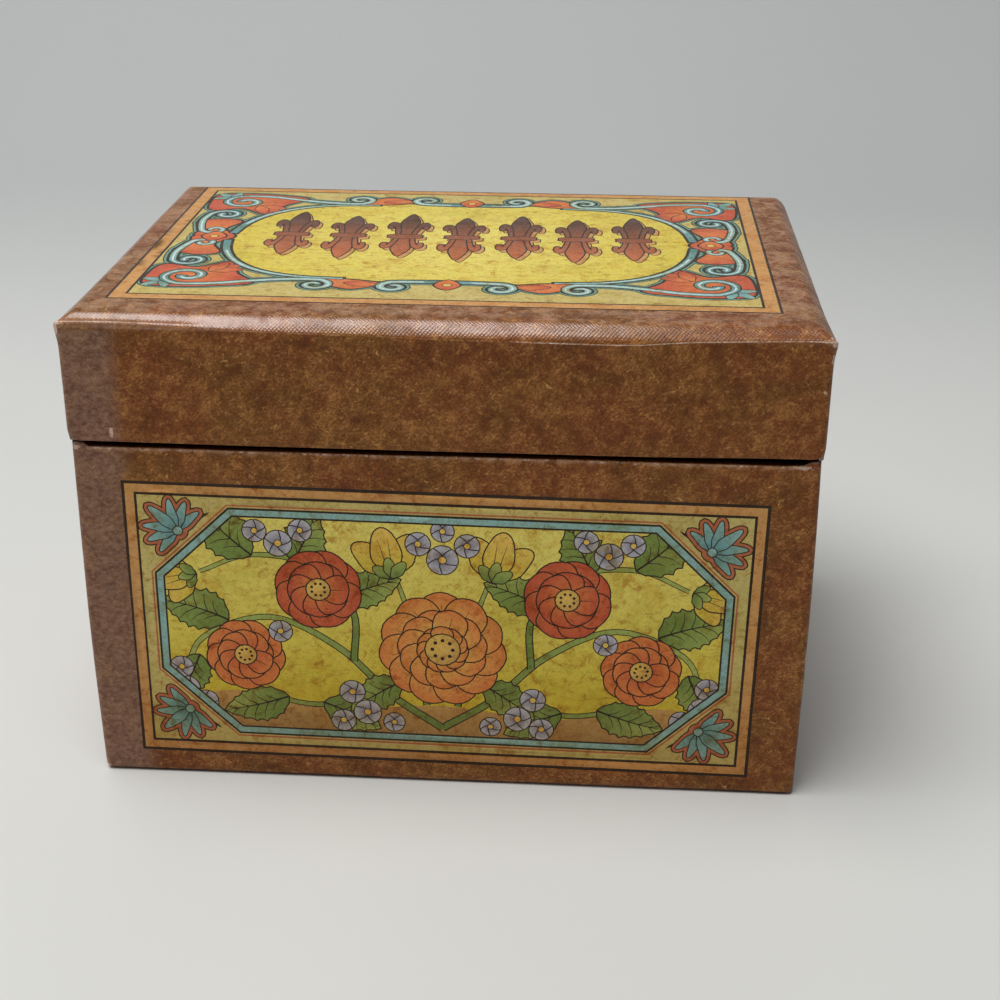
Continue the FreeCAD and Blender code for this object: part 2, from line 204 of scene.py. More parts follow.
def stroke(path, width, taper):
    """Closed outline of a line drawn along a path, its width easing to taper times itself at the end."""
    p = np.array(path, float)
    d = np.gradient(p, axis=0)
    d /= lengths(d)
    side = np.stack([-d[:, 1], d[:, 0]], 1)
    t = np.linspace(0, 1, len(p))[:, None]
    w = width / 2 * (1 - (1 - taper) * t)
    return np.vstack([p - side * w, (p + side * w)[::-1]])


def petal(length, width, point=0.5, bend=0.0):
    """A petal along +X from the origin; point 0 is blunt and 1 sharp, and bend curves it sideways."""
    belly = 0.62 - 0.22 * point
    half = [(0.0, 0.10), (0.22, 0.34), (belly, 0.5), (0.86, 0.5 - 0.26 * point)]
    top = [(u * length, v * width) for u, v in half]
    under = [(u, -v) for u, v in reversed(top)]
    p = smooth(top + [(length, 0.0)] + under, 3)
    p[:, 1] += bend * width * (p[:, 0] / length) ** 2
    return p


def leaf(art, x, y, angle, length, width, bend):
    """Serrated leaf with a midrib, side veins and a darker half."""
    teeth, veins, blunt = 7, 5, 0.8
    t = np.linspace(0, 1, teeth * 3 + 1)
    bulge = np.sin(pi * t ** blunt) ** 0.85 * (0.5 * width)
    notch = 1 + 0.13 * (((np.arange(len(t)) % 3) == 1) * 1.0 - 0.5)
    rib = bend * length * t ** 2 * 0.5
    middle = np.stack([t * length, rib], 1)
    upper = np.stack([t * length, rib + bulge * notch], 1)
    lower = np.stack([t * length, rib - bulge * notch], 1)
    outline = place(np.vstack([upper, lower[-2:0:-1]]), x, y, angle)
    tip = place([(length, rib[-1])], x, y, angle)[0]
    art.inked(outline, LEAF_DEEP, LEAF, (x, y), tip)
    half = place(np.vstack([upper, middle[::-1]]), x, y, angle)
    art.fill(half, LEAF_DEEP, tuple(0.5 * (np.array(LEAF) + np.array(LEAF_DEEP))), (x, y), tip)
    for k in range(1, veins + 1):
        u = k / (veins + 1.2)
        root = np.array([u * length, bend * length * u ** 2 * 0.5])
        reach = 0.42 * width * sin(pi * u ** blunt)
        for side in (1, -1):
            end = root + (0.16 * length, side * reach)
            bow = (root + end) / 2 + (0.03 * length, 0)
            art.fill(place(stroke(smooth([root, bow, end], 3, False), 0.22, 0.4), x, y, angle), INK)
    art.fill(place(stroke(middle[:-1], 0.42, 0.3), x, y, angle), INK)


def stem(art, points, width):
    path, taper = smooth(points, 6, False), 0.6
    art.fill(stroke(path, width + 0.5, taper), INK)
    art.fill(stroke(path, width, taper), LEAF_DEEP, LEAF, path[0], path[-1])


def rosette(art, x, y, radius, count, tip, heart, turn, rows=2):
    """Round blossom: rows of overlapping petals about a dotted eye."""
    dots, ring_radius = 8, 0.16 * radius
    for row in range(rows):
        reach = radius * (1 - 0.30 * row)
        width = 2.35 * reach * sin(pi / count) * (1.0 + 0.12 * row)
        for k in range(count):
            angle = turn + 360 * (k + 0.5 * row) / count
            outline = place(petal(reach, width, 0.25, 0.04), x, y, angle)
            end = place([(reach, 0)], x, y, angle)[0]
            art.inked(outline, heart, tip, (x, y), end)
            crease = place(stroke([(0.35 * reach, 0), (0.8 * reach, 0.02 * reach)], 0.2, 0.4), x, y, angle)
            art.fill(crease, INK)
    art.inked(disc(x, y, 0.27 * radius), GOLD, SAND, (x - 0.1 * radius, y + 0.1 * radius),
              (x + 0.25 * radius, y - 0.2 * radius), radial=True)
    for k in range(dots):
        a = radians(turn + 360 * k / dots)
        dot = disc(x + ring_radius * cos(a), y + ring_radius * sin(a), 0.028 * radius + 0.08, 6)
        art.fill(dot, INK)


def bell(art, x, y, angle, size):
    """Half-open flower seen from the side: two outer petals, a middle one and a green cup."""
    tip = place([(size, 0)], x, y, angle)[0]
    for side in (1, -1):
        outline = place(petal(size, 0.62 * size, 0.8, 0.3 * side), x, y, angle + 24 * side)
        art.inked(outline, YELLOW_DEEP, GOLD, (x, y), tip)
    art.inked(place(petal(1.08 * size, 0.6 * size, 0.7), x, y, angle), GOLD, YELLOW_DEEP, tip, (x, y))
    for shift in (-0.1, 0.1):
        line = [(0.35 * size, shift * 0.6 * size), (0.85 * size, shift * size)]
        art.fill(place(stroke(line, 0.18, 0.3), x, y, angle), INK)
    for side in (1, 0, -1):
        art.inked(place(petal(0.42 * size, 0.24 * size, 0.8), x, y, angle + 50 * side), LEAF_DEEP, LEAF,
                  (x, y), place([(0.4 * size, 0)], x, y, angle)[0], line=0.2)


def starflower(art, x, y, radius, turn):
    """Small five-petalled flower."""
    for k in range(5):
        angle = turn + 72 * k
        outline = place(petal(radius, 1.0 * radius, 0.0), x, y, angle)
        art.inked(outline, MAUVE_DEEP, MAUVE, (x, y), place([(0.8 * radius, 0)], x, y, angle)[0], line=0.22)
    art.inked(disc(x, y, 0.24 * radius, 10), GOLD, line=0.16)


def palmette(art, x, y, angle, size):
    """Fan of seven petals on a boss, ringed by a rust ground with a scalloped line."""
    petals = []
    for lean, reach, width in ((0, 1.0, 0.30), (26, 0.92, 0.27), (54, 0.86, 0.27), (84, 0.80, 0.25)):
        for turn in sorted({lean, -lean}, reverse=True):
            bend = 0.0 if turn == 0 else copysign(0.55, turn)
            petals.append((turn, place(petal(reach * size, width * size, 0.9, bend), x, y, angle + turn)))
    for spread, colour in ((0.98, INK), (0.74, RUST)):
        for _, outline in petals:
            art.fill(grow(outline, spread), colour)
        art.fill(disc(x, y, 0.16 * size + spread), colour)
    for turn, outline in sorted(petals, key=lambda item: -abs(item[0])):
        tip = place([(0.8 * size, 0)], x, y, angle + turn)[0]
        art.inked(outline, TEAL_DEEP, TEAL, (x, y), tip, line=0.2)
    art.inked(disc(x, y, 0.12 * size, 12), TEAL, line=0.2)


def bouquet(art, side):
    """One half of the front's flowers: side is 1 on the right and -1 on the left."""
    def turn(angle):
        return angle if side == 1 else 180 - angle
    for points, width in (([(0, -21), (10, -14), (20, -4), (33, 2), (46, -3), (50, -12)], 1.3),
                          ([(12, -13), (24, -17), (36, -14), (41, -8)], 1.0),
                          ([(17, -7), (17, 4), (24, 13), (36, 15), (46, 11)], 1.1),
                          ([(3, -16), (6, 2), (9, 12)], 1.0)):
        stem(art, np.array(points) * (side, 1), width)
    for x, y, angle, length, width, bend in (
            (36, 15, 38, 15, 9, 0.25), (28, 14, 120, 11, 8, -0.2), (41, 1, 25, 13, 8.5, -0.3),
            (30, -15.5, -22, 13, 7.5, 0.2), (23, -16.5, -160, 12, 7, 0.2), (20, 6, 150, 13, 7.5, 0.25),
            (47, -7, -70, 11, 7, 0.2), (8, -11, -30, 12, 7, -0.2)):
        leaf(art, side * x, y, turn(angle), length, width, side * bend)
    bell(art, side * 9.5, 11.5, turn(78), 9.5)
    bell(art, side * 47, 10.5, turn(-18), 7.5)
    rosette(art, side * 38, -6.5, 7.6, 9, FLAME, RED, 10 * side)
    rosette(art, side * 23.5, 8.2, 8.2, 8, RED, FLAME, 22)
    for x, y, radius in ((50, -14.5, 2.6), (46.2, -17.3, 2.3), (50.6, -9.8, 2.2), (30.8, 17.6, 2.6),
                         (35.2, 20.0, 2.2), (26.6, 20.4, 2.2), (14.6, -18.2, 2.6), (19.3, -20.3, 2.3),
                         (17.5, -13.8, 2.4), (31, -1.0, 2.2)):
        starflower(art, side * x, y, radius, 18 * x)


def front_print():
    """Flowers on a yellow ground in an octagonal frame, with a palmette in each corner."""
    art, panel = Print(), rectangle(57.4, 27.0)
    art.fill(panel, YELLOW, YELLOW_DEEP, (0, 20), (0, -14))
    rise = [(-56, -18), (-40, -14.5), (-20, -17.5), (0, -16), (22, -18), (42, -14.5), (56, -18)]
    soil = np.vstack([smooth(rise, 5, False), [(56, -26), (-56, -26)]])
    art.fill(soil, SAND, tuple(0.8 * np.array(SAND)), (0, -14), (0, -25))
    for side in (1, -1):
        bouquet(art, side)
    rosette(art, 0, -3.5, 12.2, 11, FLAME, GOLD, 90, rows=3)
    for x, y, radius in ((0, 15.5, 2.9), (-4.6, 18.6, 2.3), (4.6, 18.6, 2.3), (0, 21.4, 2.1),
                         (-9.4, -20.2, 2.0), (9.4, -20.2, 2.0)):
        starflower(art, x, y, radius, 90)

    opening = octagon(52.6, 22.6, 13.4, 13.0)
    art.fill([panel, opening], CREAM)
    for outer, inner, colour in ((2.5, 2.15, RUST), (1.9, 1.5, INK), (1.5, 0.35, TEAL), (0.35, 0.0, INK)):
        art.fill([grow(opening, outer), grow(opening, inner)], colour)
    for sx, sy in QUARTERS:
        wedge = np.array([(43.4, 23.4), (49.0, 18.6), (53.4, 13.6), (49.9, 19.6)]) * (sx, sy)
        art.fill(smooth(wedge, 4), INK)
        heading = degrees(atan2(0.9 * sy, sx))
        palmette(art, sx * 49.6, sy * 19.3, heading, 7.0)
    art.bands(59.6, 29.15, ((0.0, 0.6, INK), (0.6, 2.25, BAND), (2.25, 2.75, INK)))
    return art


def lily(x, y, up, size):
    """Outlines of a three-petalled lily: a spear between two petals that curl over."""
    narrow, tall = 0.8, 1.62
    spear = [(0, 10.4), (1.5, 8.4), (2.3, 6.0), (1.6, 3.2), (0.9, 0.4),
             (-0.9, 0.4), (-1.6, 3.2), (-2.3, 6.0), (-1.5, 8.4)]
    wing = [(0.8, 0.4), (1.5, 2.6), (2.7, 5.4), (4.3, 6.3), (5.3, 5.0), (5.0, 3.2), (4.0, 3.3),
            (4.1, 4.3), (3.5, 4.1), (2.9, 2.4), (2.3, 0.4)]
    for points in ([(-u, v) for u, v in wing], wing, spear):
        yield smooth(points, 4) * (narrow, tall * up * size) + (x, y)


def fleuron(art, x, y, tall):
    """Two lilies foot to foot across a bar, over a drop shade."""
    high, low = (1.0, 0.82) if tall else (0.86, 0.94)
    bar = np.array([(-2.9, 1.3), (2.9, 1.3), (3.4, 0), (2.9, -1.3), (-2.9, -1.3), (-3.4, 0)]) + (x, y)
    outlines = [*lily(x, y + 0.6, 1, high), *lily(x, y - 0.6, -1, low), smooth(bar, 3)]
    shades = [outline + (0.9, -1.5) for outline in outlines]
    for shade in shades:
        art.fill(grow(shade, 0.25), INK)
    for shade in shades:
        art.fill(shade, BAND)
    for outline in outlines:
        art.inked(outline, PLUM, COPPER, (x, y + 12), (x, y - 14), line=0.32)


def corner_ornaments():
    """Grounds, scrolls (path, width, taper) and husks (outline, colours) around the cartouche."""
    grounds, scrolls, husks = [], [], []
    for mirror in QUARTERS:
        def quarter(points):
            return np.array(points, float) * mirror + CARTOUCHE

        def path(*pieces):
            return quarter(smooth(np.vstack(pieces), 3, False))
        for points in (
                [(43.5, 18), (49, 22.3), (55.6, 20.5), (57.2, 27), (56.4, 33.8), (50, 35), (43, 34.2),
                 (36.5, 31.8), (40.5, 26)],
                [(46.5, 0), (49.5, 5.5), (47.2, 11.5), (51.2, 13.2), (56.3, 10.8), (54.2, 5.2), (54.4, 0)],
                [(12.5, 30.6), (17, 28.6), (24, 28.0), (22, 32), (17.5, 34.2)]):
            grounds.append(quarter(smooth(points, 4)))
        scrolls += [
            (path(curl(49.6, 27.8, 5.3, 1.0, 90, -450)[::-1], [(43.5, 32.6), (37.5, 30.6), (31, 28.9)],
                  curl(24.8, 32.0, 3.3, 0.8, 270, -420)), 1.9, 0.55),
            (path(curl(51.6, 17.0, 3.5, 0.9, 0, 420)[::-1], [(55.6, 12.8), (55.2, 8.6)],
                  curl(51.6, 4.9, 2.7, 0.8, 0, -390)), 1.6, 0.6),
            (path([(47.2, 2.5), (45.9, 10), (42.6, 17.5), (36.8, 23.6), (29, 26.9), (20, 27.7)]), 1.5, 0.5),
            (path([(0, 28.7), (4.5, 28.7)], curl(9.9, 32.2, 3.1, 0.8, 270, 400)), 1.7, 0.6)]
        for angle, reach, bend in ((45, 5.6, 0), (5, 4.6, -0.4), (85, 4.6, 0.4)):
            husks.append((quarter(place(petal(reach, 2.3, 0.8, bend), 52.8, 30.8, angle)), TEAL_DEEP, TEAL))
        for angle, reach in ((222, 7.0), (196, 6.2), (250, 6.2)):
            husks.append((quarter(place(petal(reach, 2.9, 0.8), 46.0, 24.6, angle)), FLAME, RED))
        husks.append((quarter(place(petal(6.0, 3.2, 0.9), 13.4, 31.2, -8)), FLAME, RED))
    return grounds, scrolls, husks


def top_print():
    """A row of seven fleurons in a cartouche among scrolls, inside a banded border."""
    art, (half_w, half_h) = Print(), (61.3, 42.1)
    art.fill(rectangle(half_w - 3, half_h - 3), CREAM)
    grounds, scrolls, husks = corner_ornaments()
    quarter = [(47.5, 0), (46, 12), (41.5, 20.5), (33, 26.5), (18, 28.9), (0, 28.3)]
    upper = quarter + [(-x, y) for x, y in quarter[-2::-1]]
    field = smooth(upper + [(x, -y) for x, y in upper[-2:0:-1]], 4) + CARTOUCHE
    strokes = [stroke(path, width, taper) for path, width, taper in scrolls]
    for spread, colour in ((1.25, INK), (1.0, HALO)):
        for outline in strokes + grounds:
            art.fill(grow(outline, spread), colour)
    art.inked(field, YELLOW, YELLOW_DEEP, (0, 0), (60, 0), radial=True)
    for outline in strokes + grounds:
        art.fill(grow(outline, 0.6), INK)
    for outline in grounds:
        middle = outline.mean(axis=0)
        art.fill(outline, FLAME, RED, middle, middle + (8, 0), radial=True)
    for outline, near, far in husks:
        art.inked(outline, near, far, outline[0], outline[len(outline) // 2], line=0.22)
    for outline, (path, width, taper) in zip(strokes, scrolls):
        art.inked(outline, TEAL_DEEP, TEAL, path[0], path[len(path) // 2], line=0.3)
        art.fill(stroke(path[3:-3], 0.3 * width, taper), PALE)
    for sx, sy in ((0, 1), (0, -1), (1, 0), (-1, 0)):
        x, y = np.array((50.6 * sx, 30.4 * sy)) + CARTOUCHE
        boss = smooth([(x, y + 3.2), (x + 2.4, y), (x, y - 3.2), (x - 2.4, y)], 5)
        art.inked(boss, RED, FLAME, (x, y - 3), (x, y + 3), line=0.4)
        art.inked(disc(x, y, 0.8, 10), GOLD, line=0.2)
    for k in range(7):
        fleuron(art, (k - 3) * 11.7, 4.2, k % 2 == 0)
    art.bands(half_w, half_h, ((0.0, 0.5, INK), (0.5, 3.0, BAND), (3.0, 3.5, INK)))
    return art


# ---- meshes ----


def add_object(name, data):
    obj = bpy.data.objects.new(name, data)
    bpy.context.scene.collection.objects.link(obj)
    return obj


def linear(colour):
    """sRGB 0-255 to linear."""
    c = np.array(colour, float) / 255
    return np.where(c <= 0.04045, c / 12.92, ((c + 0.055) / 1.055) ** 2.4)


def inside(points, polygon):
    """Which points have a non-zero winding number in the polygon."""
    winding = np.zeros(len(points), int)
    x, y = points[:, 0], points[:, 1]
    for (x0, y0), (x1, y1) in zip(polygon, np.roll(polygon, -1, axis=0)):
        left = (x1 - x0) * (y - y0) - (x - x0) * (y1 - y0)
        winding += (y0 <= y) & (y < y1) & (left > 0)
        winding -= (y1 <= y) & (y < y0) & (left < 0)
    return winding != 0


def printed_panel(boundary, art, centre, turn, step):
    """Triangles over a flat region, cut along every outline of the print, with a colour for each corner."""
    points, edges = [], []

    def closed(contour):
        first, count = len(points), len(contour)
        points.extend(Vector(p) for p in contour)
        edges.extend((first + i, first + (i + 1) % count) for i in range(count))

    closed(boundary)
    low, high = boundary.min(axis=0), boundary.max(axis=0)
    placed = []
    for contours, *_ in art.shapes:
        contours = [place(contour, *centre, turn) for contour in contours]
        placed.append(contours)
        for contour in contours:
            closed(np.clip(contour, low, high))
    spread = np.array([(x, y) for i, x in enumerate(np.arange(low[0] + step / 2, high[0], step))
                       for y in np.arange(low[1] + step * (0.3 + 0.4 * (i % 2)), high[1], step)])
    points.extend(Vector(p) for p in spread[inside(spread, boundary)])
    flat, _, faces, *_ = delaunay_2d_cdt(points, edges, [], 1, 1e-4, False)
    flat, faces = np.array([tuple(p) for p in flat]), np.array([tuple(f) for f in faces])
    faces = faces[inside(flat[faces].mean(axis=1), boundary)]
    a, b, c = flat[faces[:, 0]], flat[faces[:, 1]], flat[faces[:, 2]]
    size = (b[:, 0] - a[:, 0]) * (c[:, 1] - a[:, 1]) - (b[:, 1] - a[:, 1]) * (c[:, 0] - a[:, 0])
    faces = faces[np.abs(size) > 1e-7]
    middles = flat[faces].mean(axis=1)
    top = np.full(len(faces), -1)
    for index, contours in enumerate(placed):
        near = np.concatenate(contours)
        lowest, highest = near.min(axis=0), near.max(axis=0)
        some = np.where(((middles >= lowest) & (middles <= highest)).all(axis=1))[0]
        hit = np.zeros(len(some), bool)
        for contour in contours:
            hit ^= inside(middles[some], contour)
        top[some[hit]] = index
    colours = np.zeros((len(faces), 3, 4))
    for index, (_, near, far, line, radial) in enumerate(art.shapes):
        mine = np.where(top == index)[0]
        if not len(mine):
            continue
        corners = flat[faces[mine]]
        start, end = place(line, *centre, turn)
        along = end - start
        if radial:
            t = np.linalg.norm(corners - start, axis=2) / np.linalg.norm(along)
        else:
            t = (corners - start) @ along / max(along @ along, 1e-9)
        t = np.clip(t, 0, 1)[..., None]
        colours[mine, :, :3] = linear(near) * (1 - t) + linear(far) * t
        colours[mine, :, 3] = 1
    return flat, faces, colours


def ring(half, centre_y, inset, z, counts):
    """Ring round the box, counter-clockwise from the left end of the front; z is a height or a function, and
    counts are the steps along the front, along an end and round a corner."""
    w, d = half[0] - inset, half[1] - inset
    r = max(CORNER - inset, 0)
    along, across, arc = counts
    points = []
    for heading, c, s in ((0, 1, 0), (90, 0, 1), (180, -1, 0), (270, 0, -1)):
        count, run = (along, w - r) if c else (across, d - r)
        start = np.array(((s - c) * (w - r), (-s - c) * (d - r))) + r * np.array((s, -c))
        for k in range(count + 1):
            points.append(start + np.array((c, s)) * 2 * run * k / count)
        pivot = np.array(points[-1]) + r * np.array((-s, c))
        for k in range(1, arc):
            a = radians(heading - 90 + 90 * k / arc)
            points.append(pivot + r * np.array((cos(a), sin(a))))
    points = np.array(points) + (0, centre_y)
    level = np.full((len(points), 1), z) if np.isscalar(z) else z(points)[:, None]
    return np.hstack([points, level])


class Shell:
    """Vertices in millimetres, with a weight for how far they wander, and faces with corner colours."""

    def __init__(self):
        self.points, self.weights, self.faces, self.colours = [], [], [], []

    def add(self, points, weight):
        first = sum(map(len, self.points))
        self.points.append(np.asarray(points, float))
        self.weights.append(np.full(len(points), float(weight)))
        return first

    def bare(self, faces):
        self.faces.extend(faces)
        self.colours.extend(np.zeros((sum(len(f) for f in faces), 4)))

    def rings(self, stack, skip=None, front=0):
        """Quads between neighbouring rings; skip(k) leaves the front side open above ring k."""
        firsts = [self.add(points, weight) for points, weight in stack]
        size = len(stack[0][0])
        for k in range(len(stack) - 1):
            a, b = firsts[k], firsts[k + 1]
            start = front if skip and skip(k) else 0
            self.bare([(a + i, a + (i + 1) % size, b + (i + 1) % size, b + i) for i in range(start, size)])
        return firsts

    def panel(self, flat, faces, colours, lift):
        """Printed panel; lift turns its flat points into points in space."""
        first = self.add(lift(flat), 1)
        self.faces.extend(tuple(int(v) + first for v in f) for f in faces)
        self.colours.extend(colours.reshape(-1, 4))

    def finish(self, name, wander, wear):
        points, weights = np.vstack(self.points), np.concatenate(self.weights)
        mesh = bpy.data.meshes.new(name)
        mesh.from_pydata((points * MM).tolist(), [], self.faces)
        printed = mesh.color_attributes.new("printed", "FLOAT_COLOR", "CORNER")
        printed.data.foreach_set("color", np.array(self.colours, np.float32).ravel())
        mesh.attributes.new("held", "FLOAT", "POINT").data.foreach_set("value", weights)
        work = bmesh.new()
        work.from_mesh(mesh)
        bmesh.ops.remove_doubles(work, verts=work.verts, dist=2e-6)
        bmesh.ops.dissolve_degenerate(work, edges=work.edges, dist=1e-7)
        bmesh.ops.recalc_face_normals(work, faces=work.faces)
        for face in work.faces:
            face.smooth = True
        work.to_mesh(mesh)
        work.free()
        count = len(mesh.vertices)
        rest, weight = np.zeros(3 * count), np.zeros(count)
        mesh.vertices.foreach_get("co", rest)
        mesh.attributes["held"].data.foreach_get("value", weight)
        rest = rest.reshape(-1, 3) / MM
        moved = rest + wander(rest) * weight[:, None]
        mesh.vertices.foreach_set("co", (moved * MM).ravel())
        mesh.attributes.remove(mesh.attributes["held"])
        mesh.attributes.new("rubbed", "FLOAT", "POINT").data.foreach_set("value", wear(rest) * weight)
        mesh.update()
        return add_object(name, mesh)


def hills(points, size, seed):
    """Smooth random vectors, one for each point."""
    shift = Vector((seed, 2 * seed, 0))
    return np.array([tuple(noise.noise_vector(Vector(p) / size + shift)) for p in points])


def ease(value, start, end):
    t = np.clip((value - start) / (end - start), 0, 1)
    return t * t * (3 - 2 * t)


def bell_curve(value, middle, spread):
    return np.exp(-((value - middle) / spread) ** 2)


def on_board(p, move, top):
    """Keeps the paper from sinking into the board behind it."""
    sunk, (x, y, z), (dx, dy, dz) = -0.16, p.T, move.T
    for place, shift, near_wall in ((x, dx, 65.0), (y, dy, 45.0)):
        side = np.sign(place)
        shift[:] = np.where(np.abs(place) > near_wall, np.maximum(shift * side, sunk) * side, shift)
    dz[:] = np.where(z > top, np.maximum(dz, sunk), dz)
    return move


def depths(p, half, centre_y=0.0):
    """How far points lie inward from a box's ends and from its front or back."""
    return half[0] - np.abs(p[:, 0]), half[1] - np.abs(p[:, 1] - centre_y)


def levels(half, centre_y, counts):
    """Maker of a box's rings from their inset, height and weight."""
    return lambda inset, z, weight=0.0: (ring(half, centre_y, inset, z, counts), weight)


def roll_ring(level, skin, share, weight=0.0):
    """Ring on the rolled edge, a skin below its surface, from the wall (0) to the top (1)."""
    chord = hypot(ROLL_WIDTH, ROLL_DROP)
    radius = chord ** 2 / (8 * ROLL_BOW) + ROLL_BOW / 2
    reach = (radius - ROLL_BOW) / chord
    inward, down = ROLL_WIDTH / 2 + ROLL_DROP * reach, ROLL_DROP / 2 + ROLL_WIDTH * reach
    r = radius - skin
    low, high = acos((inward - skin) / r), asin((down - skin) / r)
    a = low + (high - low) * share
    return level(inward - r * cos(a), HEIGHT - down + r * sin(a), weight)


def lid_stack(level):
    """Rings on the board side of the paper, then round its turn-in and the rim, up the outside to the top."""
    steps_in, steps_out = 4, 9
    inner, skin = BOARD + SKIN, BOARD + 2 * SKIN
    stack = [roll_ring(level, SKIN, 1 - k / steps_in) for k in range(steps_in + 1)]
    stack += [level(*row) for row in (
        (SKIN, 85), (SKIN, SEAT + SKIN), (inner, SEAT + SKIN), (inner, LID_TURN_IN), (skin, LID_TURN_IN),
        (skin, 78), (skin, SEAT + 0.12), (skin - 0.12, SEAT, 0.3), (1.0, SEAT, 0.7), (0.2, SEAT + 0.04, 1),
        (0.04, SEAT + 0.18, 1), (0, SEAT + 0.45, 1))]
    wall = [*np.linspace(SEAT + 1.2, CREASE - 1.4, 20), CREASE - 0.7, CREASE - 0.3, CREASE]
    stack += [level(0, z, 1) for z in wall]
    stack += [roll_ring(level, 0, k / steps_out, 1) for k in range(1, steps_out)]
    return stack + [level(ROLL_WIDTH + inset, HEIGHT, 1) for inset in (0, 0.2, 0.45)]


def lid_wander(p):
    """Waves, bulges along the crease, pulled tips and a sagging top."""
    move = 0.10 * hills(p, 34, 3.7) + 0.035 * hills(p, 7, 8.1)
    (x, y, z), (dx, dy, dz) = p.T, move.T
    side, apart = np.sign(x), np.abs(x)
    dz *= ease(z, SEAT + 0.5, SEAT + 6)
    front = ease(-y, 30, 48.9)
    crease = bell_curve(z, CREASE, 1.5)
    wave = 0.07 * np.sin(x / 9.5 + 0.6) + 0.05 * np.sin(x / 5.1)
    dz += crease * ease(-y, 47.5, 48.8) * (wave + 1.1 * ease(-x, 22, 62) + 0.8 * ease(x, 32, 64))
    full = ease(x, -14, 6) * ease(-x, -46, -32) * ease(-y, 45, 48.8)
    dz -= 0.5 * full * crease
    dy -= 0.2 * full * bell_curve(z, CREASE + 0.3, 2.0)
    corner = ease(apart, 64.5, 68.6) * front * bell_curve(z, CREASE + 0.2, 2.2)
    dx += 0.45 * side * corner
    dy -= 0.28 * corner
    low = ease(apart, 66.9, 68.7) * ease(-y, 46, 48.9) * ease(-z, -73.0, -SEAT)
    dz += 0.5 * low
    dx -= 0.3 * side * low
    dz += 0.28 * ease(apart, 30, 66) * front * ease(-z, -78, -SEAT) * (1 + 0.4 * side)
    brow = np.minimum(*depths(p, LID_HALF, LID_CENTRE)) - ROLL_WIDTH
    dz -= 0.11 * np.clip(1 - np.abs(brow) / 1.1, 0, 1) ** 2 * (z > CREASE + 0.5)
    sag = bell_curve(x, 0, 42) * bell_curve(y, 0, 30) * ease(z, HEIGHT - 0.1, HEIGHT)
    dz -= 0.12 * sag
    dy[:] = np.where(y > NEAR_BACK, np.minimum(dy, 0.0) * (1 - ease(y, 44, 48.4)), dy)
    return on_board(p, move, HEIGHT - 2.1)


def lid_wear_and_highlight(p):
    x, _, z = p.T
    inward = depths(p, LID_HALF, LID_CENTRE)
    on_wall = np.minimum(*inward) < 0.3
    upright = np.exp(-np.hypot(*inward) / 1.1)
    # The crease term, raised towards the right, partly paints a highlight line along the crease.
    crease = bell_curve(z, CREASE, 0.2) * on_wall * (0.55 + 0.3 * ease(x, 0, 20))
    rim = np.exp(-(z - SEAT) / 0.3) * on_wall
    tip = upright * ease(z, CREASE - 4, CREASE)
    return np.clip(0.55 * upright + crease + 0.5 * rim + 0.6 * tip, 0, 1)


def lid_cover():
    shell = Shell()
    stack = lid_stack(levels(LID_HALF, LID_CENTRE, (137, 98, 4)))
    firsts = shell.rings(stack)
    size = len(stack[0][0])
    shell.bare([tuple(firsts[0] + i for i in range(size))[::-1]])
    edge = stack[-1][0][:, :2]
    keep = np.linalg.norm(edge - np.roll(edge, 1, axis=0), axis=1) > 1e-4
    panel = printed_panel(edge[keep], top_print(), TOP_PRINT_CENTRE, 0.0, 2.4)
    shell.panel(*panel, lambda flat: np.hstack([flat, np.full((len(flat), 1), HEIGHT)]))
    return shell.finish("lid_cover", lid_wander, lid_wear_and_highlight)


def base_rim(drop):
    """Height of the rim less a drop; the front lies lower."""
    lip = BASE_HALF[0] - (BOARD + 2 * SKIN)

    def z(points):
        low = ease(-points[:, 1], 40, 44) * ease(-np.abs(points[:, 0]), -lip - 0.3, -lip + 0.3)
        return SEAT - drop - (SEAT - FRONT_SEAT) * low
    return z


def base_wall(share):
    """Height on the wall, from the foot (0) to under the rim (1)."""
    top, foot = base_rim(0.35), FOOT_LEVEL + FOOT
    return lambda points: foot + (top(points) - foot) * share


def base_stack(level):
    """Rings on the board side of the paper, then round its turn-in and the rim, down the outside and under;
    and the first and last of the wall's."""
    inner, skin, board_foot = BOARD + SKIN, BOARD + 2 * SKIN, FOOT - SKIN
    stack = [level(TURN_UNDER, FOOT_LEVEL + SKIN), level(FOOT, FOOT_LEVEL + SKIN)]
    for k in range(1, 4):
        a = radians(30 * k)
        stack.append(level(FOOT - board_foot * sin(a), FOOT_LEVEL + FOOT - board_foot * cos(a)))
    stack += [level(*row) for row in (
        (SKIN, 30), (SKIN, base_rim(SKIN)), (inner, base_rim(SKIN)), (inner, BASE_TURN_IN),
        (skin, BASE_TURN_IN), (skin, 60), (skin, base_rim(0.15)), (skin - 0.12, base_rim(0.02), 0.3),
        (1.0, base_rim(0), 0.5), (0.25, base_rim(0.03), 1), (0.07, base_rim(0.14), 1))]
    top_ring = len(stack)
    for fall in (0, 0.003, 0.006, 0.011, 0.018, *np.linspace(0.03, 1, 40)):
        stack.append(level(0, base_wall(1 - fall), 1))
    bottom_ring = len(stack) - 1
    for k in range(1, 6):
        a = radians(18 * k)
        inset, z = FOOT - FOOT * cos(a), FOOT_LEVEL + FOOT - FOOT * sin(a)
        stack.append(level(inset, z, 1 if k < 4 else 0.4))
    stack += [level(3.4, FOOT_LEVEL), level(TURN_UNDER, FOOT_LEVEL), level(TURN_UNDER, FOOT_LEVEL + SKIN)]
    return stack, top_ring, bottom_ring


